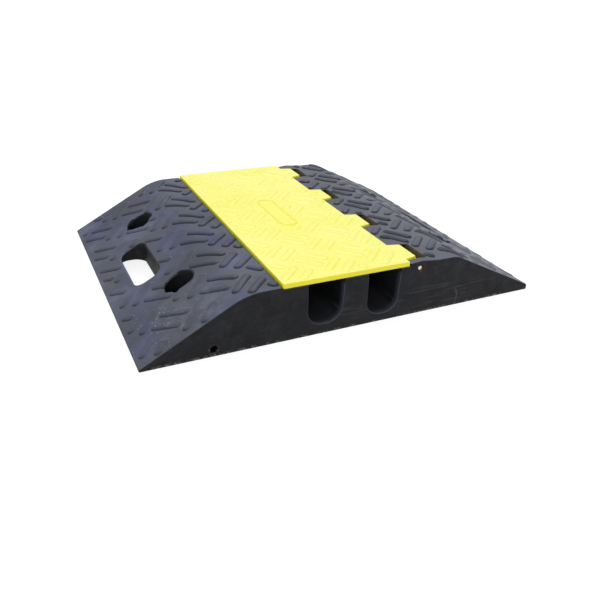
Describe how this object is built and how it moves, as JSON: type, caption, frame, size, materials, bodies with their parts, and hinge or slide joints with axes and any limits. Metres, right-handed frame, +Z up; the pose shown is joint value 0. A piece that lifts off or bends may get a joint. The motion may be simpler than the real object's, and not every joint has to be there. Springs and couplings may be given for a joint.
{
  "type": "cable protector ramp",
  "caption": "Low drive-over rubber ramp with cable channels under a hinged yellow lid, carrying openings and anchor pockets.",
  "frame": {"origin": "on the ground, under the middle of the base", "axes": "+X across the cable channels towards the hinge side, +Y along the channels, +Z up"},
  "size_m": [0.54, 0.41, 0.0775],
  "materials": {
    "black_rubber": "matte moulded black rubber, dusty and scuffed on its tread",
    "yellow_lid": "satin safety-yellow polyurethane with raised tread",
    "rod_steel": "plain drawn steel rod, cut square at its ends"
  },
  "bodies": {
    "ramp": {"base": "black_rubber", "hinge_rod": "rod_steel"},
    "lid": {"lid": "yellow_lid"}
  },
  "joints": [
    {"name": "lid_hinge", "type": "hinge", "parent": "ramp", "child": "lid", "pos_m": [0.083, 0, 0.064], "axis": [0, 1, 0], "range_deg": [0, 100]}
  ]
}
